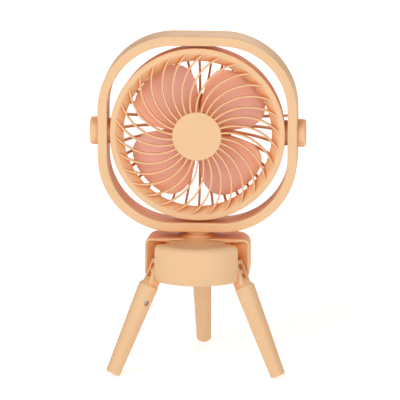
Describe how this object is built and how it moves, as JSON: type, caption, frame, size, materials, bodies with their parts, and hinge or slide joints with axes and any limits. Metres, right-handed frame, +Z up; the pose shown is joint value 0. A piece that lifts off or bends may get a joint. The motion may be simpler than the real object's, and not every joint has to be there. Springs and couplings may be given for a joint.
{
  "type": "portable camping fan",
  "caption": "Round fan head tilting in a rounded square hoop that swivels on a round base with splayed folding legs.",
  "frame": {"origin": "middle of the box round the fan, on the surface it stands on", "axes": "+Z up along the swivel axis, the fan blows towards -Y, +X along the tilt axis to the fan's left"},
  "size_m": [0.1848, 0.1344, 0.2916],
  "materials": {
    "shell_plastic": "satin",
    "blade_plastic": "satin",
    "bearing_plastic": "satin",
    "screw_steel": "satin",
    "motor_steel": "satin",
    "cell_wrap": "gloss",
    "board_green": "gloss",
    "clear_window": "frosted"
  },
  "bodies": {
    "base": {"base_housing": "shell_plastic", "bottom_plate": "shell_plastic", "base_screws": "screw_steel", "saddle_cover": "shell_plastic", "neck_collar": "shell_plastic", "battery_cell": "cell_wrap", "battery_cradle": "bearing_plastic", "battery_tabs": "screw_steel", "circuit_board": "board_green", "board_screws": "screw_steel", "power_switch": "bearing_plastic", "usb_socket": "screw_steel", "indicator_windows": "clear_window"},
    "button": {"power_button": "shell_plastic"},
    "hoop": {"neck_post": "bearing_plastic", "neck_retaining_ring": "screw_steel", "swivel_washer": "bearing_plastic", "hoop_front_shell": "shell_plastic", "hoop_rear_shell": "shell_plastic", "hoop_screws": "screw_steel", "pivot_bushes": "bearing_plastic", "pivot_washers": "bearing_plastic", "pivot_cap_right": "shell_plastic", "pivot_cap_left": "shell_plastic"},
    "head": {"pivot_screws": "screw_steel", "front_grille": "shell_plastic", "hub_cap": "shell_plastic", "rear_shell": "shell_plastic", "grille_screw": "screw_steel", "motor_can": "motor_steel", "motor_bearings": "screw_steel", "motor_screws": "screw_steel", "motor_cover": "shell_plastic"},
    "impeller": {"fan_blades": "blade_plastic", "motor_shaft": "screw_steel"},
    "leg_left": {"leg_left_tube": "shell_plastic", "leg_left_knuckle": "shell_plastic", "leg_left_screw": "screw_steel", "leg_left_hinge_pin": "screw_steel"},
    "leg_right": {"leg_right_tube": "shell_plastic", "leg_right_knuckle": "shell_plastic", "leg_right_screw": "screw_steel", "leg_right_hinge_pin": "screw_steel"},
    "leg_rear": {"leg_rear_tube": "shell_plastic", "leg_rear_knuckle": "shell_plastic", "leg_rear_screw": "screw_steel", "leg_rear_hinge_pin": "screw_steel"}
  },
  "joints": [
    {"name": "leg_left_fold", "type": "hinge", "parent": "base", "child": "leg_left", "pos_m": [-0.03629, -0.04111, 0.088], "axis": [0.5, -0.866, 0], "range_deg": [0, 25]},
    {"name": "leg_right_fold", "type": "hinge", "parent": "base", "child": "leg_right", "pos_m": [0.03629, -0.04111, 0.088], "axis": [0.5, 0.866, 0], "range_deg": [0, 25]},
    {"name": "leg_rear_fold", "type": "hinge", "parent": "base", "child": "leg_rear", "pos_m": [0, 0.02175, 0.088], "axis": [-1, 0, 0], "range_deg": [0, 25]},
    {"name": "neck_swivel", "type": "hinge", "parent": "base", "child": "hoop", "pos_m": [0, -0.02016, 0.12], "axis": [0, 0, 1], "range_deg": [-170, 170]},
    {"name": "head_tilt", "type": "hinge", "parent": "hoop", "child": "head", "pos_m": [0, -0.02016, 0.2063], "axis": [1, 0, 0], "range_deg": [-90, 90]},
    {"name": "blade_spin", "type": "hinge", "parent": "head", "child": "impeller", "pos_m": [0, -0.02016, 0.2063], "axis": [0, 1, 0], "continuous": true},
    {"name": "button_press", "type": "slide", "parent": "base", "child": "button", "axis": [-0.6157, -0.788, 0], "range_m": [0, 0.0008], "stiffness_N_per_m": 1500, "springref_m": -0.0004}
  ]
}
